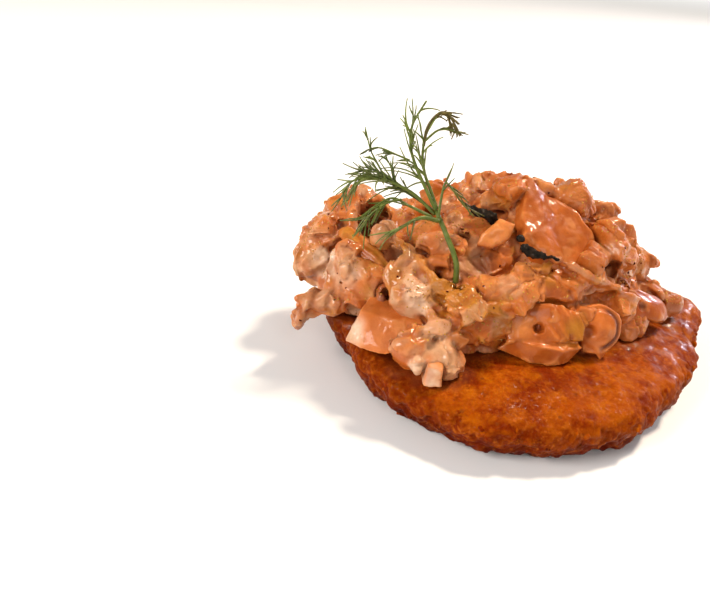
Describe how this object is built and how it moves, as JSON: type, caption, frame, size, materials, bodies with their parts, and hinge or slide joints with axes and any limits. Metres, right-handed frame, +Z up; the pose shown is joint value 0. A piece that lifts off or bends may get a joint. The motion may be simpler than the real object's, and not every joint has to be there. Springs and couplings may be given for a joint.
{
  "type": "potato pancake",
  "caption": "Fried potato pancake with a crisp uneven rim, topped with a heap of creamed mushrooms and onion and a standing sprig of dill.",
  "frame": {"origin": "centre of the whole part's box at the plane that the pancake rests on", "axes": "+Z up; +X to the right of the pictured front; the front of the pancake is at -Y"},
  "size_m": [0.1036, 0.0952, 0.0609],
  "materials": {
    "fried_potato": "crisp fried shredded potato, golden brown, darker at the rim, with an oily sheen",
    "mushroom_cream": "glossy cream sauce over chopped mushrooms, warm beige",
    "pale_mushroom": "cut mushroom flesh, pale pinkish beige, moist",
    "mushroom": "cooked mushroom slice, warm beige brown, moist and glossy",
    "onion": "fried onion, translucent gold, glossy",
    "dark_mushroom": "black-green mushroom skin, wet",
    "dill": "fresh dill, mid green, slightly glossy"
  },
  "bodies": {
    "root": {"pancake": "fried_potato", "mushroom_topping": "mushroom_cream", "mushroom_chunk": "pale_mushroom", "front_slice": "pale_mushroom", "pale_shard": "pale_mushroom", "pale_cube": "pale_mushroom", "gilled_slice": "mushroom", "brim_flap": "mushroom", "top_slab": "mushroom", "onion_strip": "onion", "dark_strip_left": "dark_mushroom", "dark_strip_right": "dark_mushroom", "dill_sprig": "dill"}
  },
  "joints": []
}
